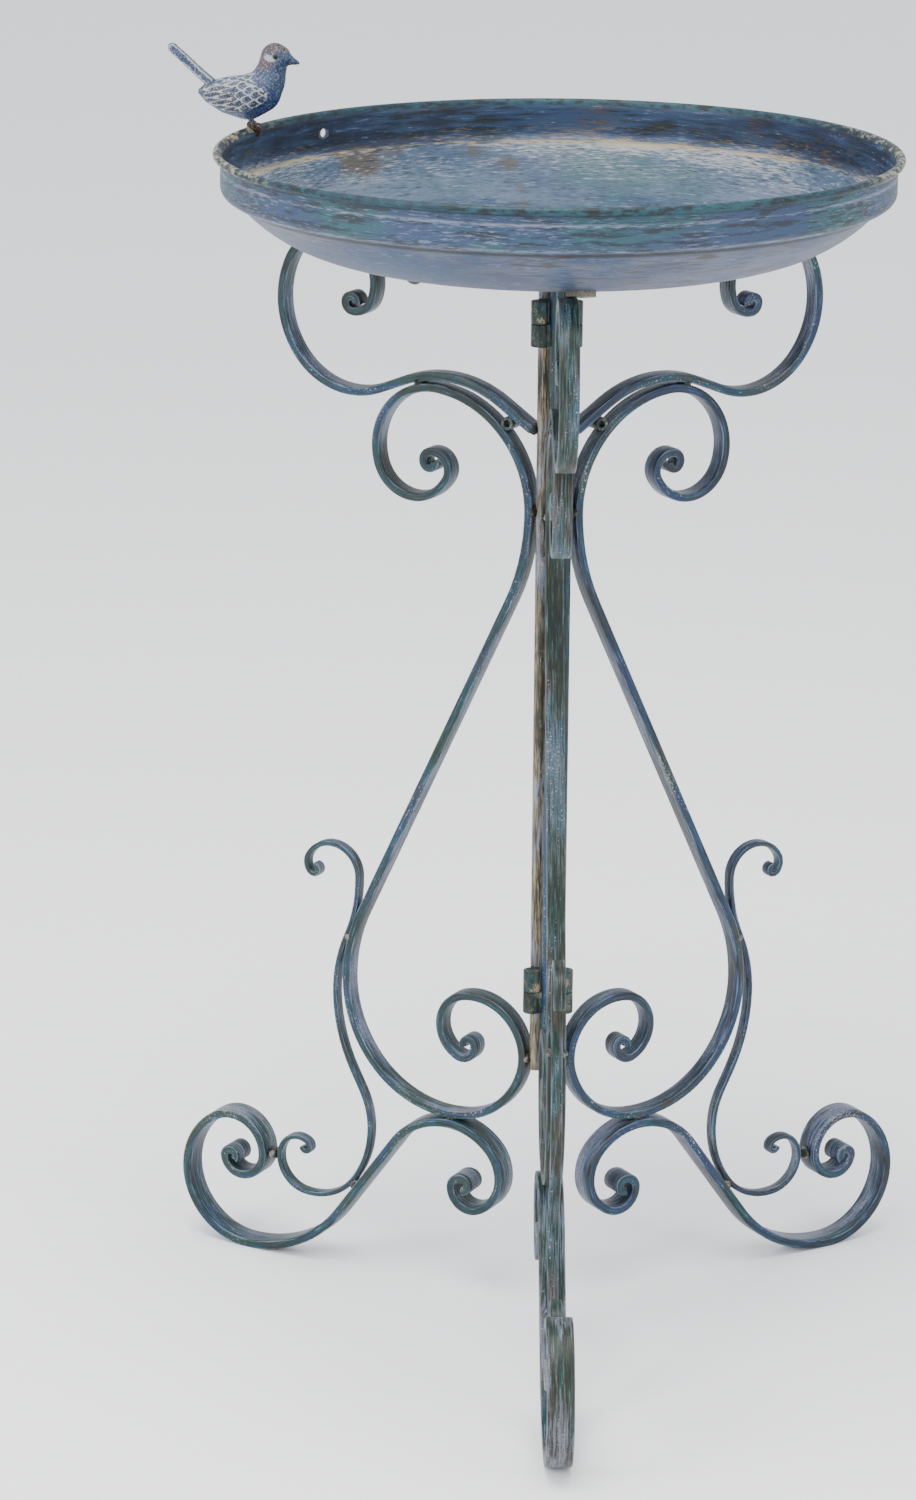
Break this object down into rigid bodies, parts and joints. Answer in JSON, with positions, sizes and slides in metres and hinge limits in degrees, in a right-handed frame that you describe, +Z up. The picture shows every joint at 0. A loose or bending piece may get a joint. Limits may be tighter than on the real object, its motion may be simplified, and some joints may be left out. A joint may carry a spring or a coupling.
{
  "type": "bird bath",
  "caption": "Shallow round dish with a small cast bird on its rim, lying on a folding three-panel wrought-iron scroll stand.",
  "frame": {"origin": "on the ground, under the middle of the whole bath's bounding box; the stand's axis lies 28.64 mm behind it in +Y", "axes": "+Z up along the uprights; -Y towards the front panel's foot; +X towards the viewer's right"},
  "size_m": [0.4328, 0.4338, 0.7319],
  "materials": {
    "iron_upright": "satin distressed paint",
    "iron_scroll": "satin distressed paint",
    "iron_foot": "satin distressed paint",
    "iron_dark": "dark worn iron",
    "weld": "painted weld metal",
    "dish_patina": "brushed distressed paint",
    "pad": "matt",
    "bird_patina": "dry-brushed paint on a casting"
  },
  "bodies": {
    "front_panel": {"front_upright": "iron_upright", "front_dish_scroll": "iron_scroll", "front_middle_scroll": "iron_scroll", "front_foot_scroll": "iron_foot", "front_tendril": "iron_scroll", "front_spacer": "iron_dark", "front_weld_beads": "weld", "left_lower_fixed_knuckle": "iron_upright", "left_upper_fixed_knuckle": "iron_upright", "right_lower_fixed_knuckle": "iron_upright", "right_upper_fixed_knuckle": "iron_upright", "left_lower_hinge_pin": "iron_dark", "left_upper_hinge_pin": "iron_dark", "right_lower_hinge_pin": "iron_dark", "right_upper_hinge_pin": "iron_dark"},
    "left_panel": {"left_upright": "iron_upright", "left_dish_scroll": "iron_scroll", "left_middle_scroll": "iron_scroll", "left_foot_scroll": "iron_foot", "left_tendril": "iron_scroll", "left_spacer": "iron_dark", "left_weld_beads": "weld", "left_lower_swing_knuckle": "iron_upright", "left_upper_swing_knuckle": "iron_upright"},
    "right_panel": {"right_upright": "iron_upright", "right_dish_scroll": "iron_scroll", "right_middle_scroll": "iron_scroll", "right_foot_scroll": "iron_foot", "right_tendril": "iron_scroll", "right_spacer": "iron_dark", "right_weld_beads": "weld", "right_lower_swing_knuckle": "iron_upright", "right_upper_swing_knuckle": "iron_upright"},
    "dish_body": {"dish": "dish_patina", "dish_pads": "pad", "pad_screws": "iron_dark", "underside_stud": "iron_scroll", "bird": "bird_patina", "bird_weld": "weld"}
  },
  "joints": [
    {"name": "left_fold", "type": "hinge", "parent": "front_panel", "child": "left_panel", "pos_m": [-0.0094, 0.02321, 0.2], "axis": [0, 0, 1], "range_deg": [0, 120]},
    {"name": "right_fold", "type": "hinge", "parent": "front_panel", "child": "right_panel", "pos_m": [0.0094, 0.02321, 0.2], "axis": [0, 0, -1], "range_deg": [0, 120]},
    {"name": "dish_lift", "type": "slide", "parent": "front_panel", "child": "dish_body", "axis": [0, 0, 1], "range_m": [0, 0.15]}
  ]
}
